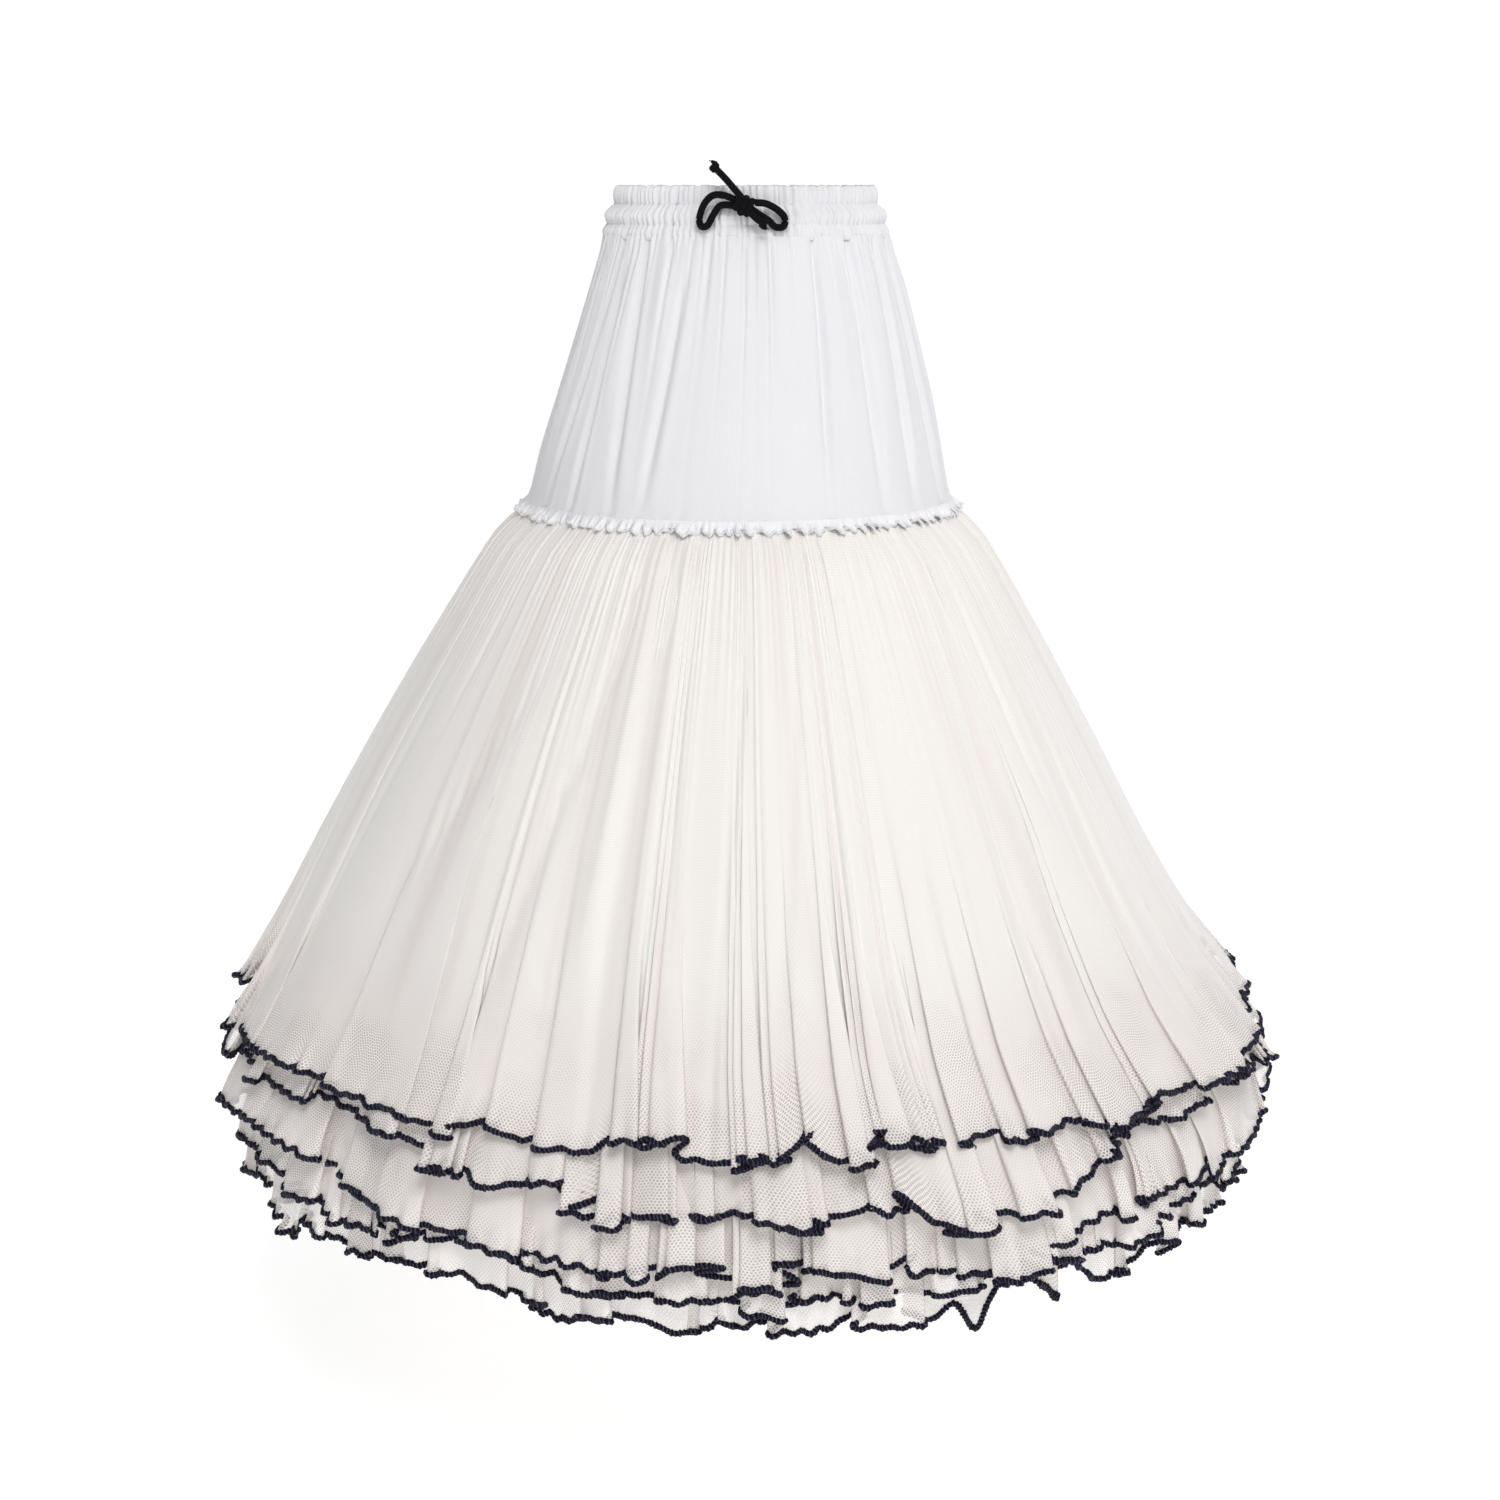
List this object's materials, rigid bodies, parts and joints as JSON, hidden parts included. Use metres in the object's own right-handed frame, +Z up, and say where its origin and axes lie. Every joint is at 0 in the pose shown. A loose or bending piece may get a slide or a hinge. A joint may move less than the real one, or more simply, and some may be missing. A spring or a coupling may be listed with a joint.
{
  "type": "tulle skirt",
  "caption": "Full skirt of gathered stiff net layers with bound hems, hung from a plain knit yoke and a drawstring waistband, in its worn shape.",
  "frame": {"origin": "middle of the waist, at the height of the drawstring's row", "axes": "+Z up through the waist, the front and its bow face -Y, +X is to the right of someone looking at the front"},
  "size_m": [0.9624, 0.9363, 0.9045],
  "materials": {
    "jersey_white": "matt knit",
    "net_ivory": "stiff open net",
    "lining_pale": "fine net",
    "edging_navy": "overlock thread",
    "cord_black": "braided cord"
  },
  "bodies": {
    "root": {"waistband": "jersey_white", "yoke_front": "jersey_white", "yoke_back": "jersey_white", "yoke_frill": "jersey_white", "net_layer_1_front": "net_ivory", "net_layer_1_right": "net_ivory", "net_layer_1_back": "net_ivory", "net_layer_1_left": "net_ivory", "net_layer_2": "net_ivory", "net_layer_3": "net_ivory", "net_layer_4": "net_ivory", "net_layer_5_front": "net_ivory", "net_layer_5_right": "net_ivory", "net_layer_5_back": "net_ivory", "net_layer_5_left": "net_ivory", "net_edging_1": "edging_navy", "net_edging_2": "edging_navy", "net_edging_3": "edging_navy", "net_edging_4": "edging_navy", "net_edging_5": "edging_navy", "inner_flounce": "lining_pale", "drawcord_loop_left": "cord_black", "drawcord_loop_right": "cord_black", "drawcord_end_long": "cord_black", "drawcord_end_short": "cord_black", "drawcord_knot": "cord_black"}
  },
  "joints": []
}
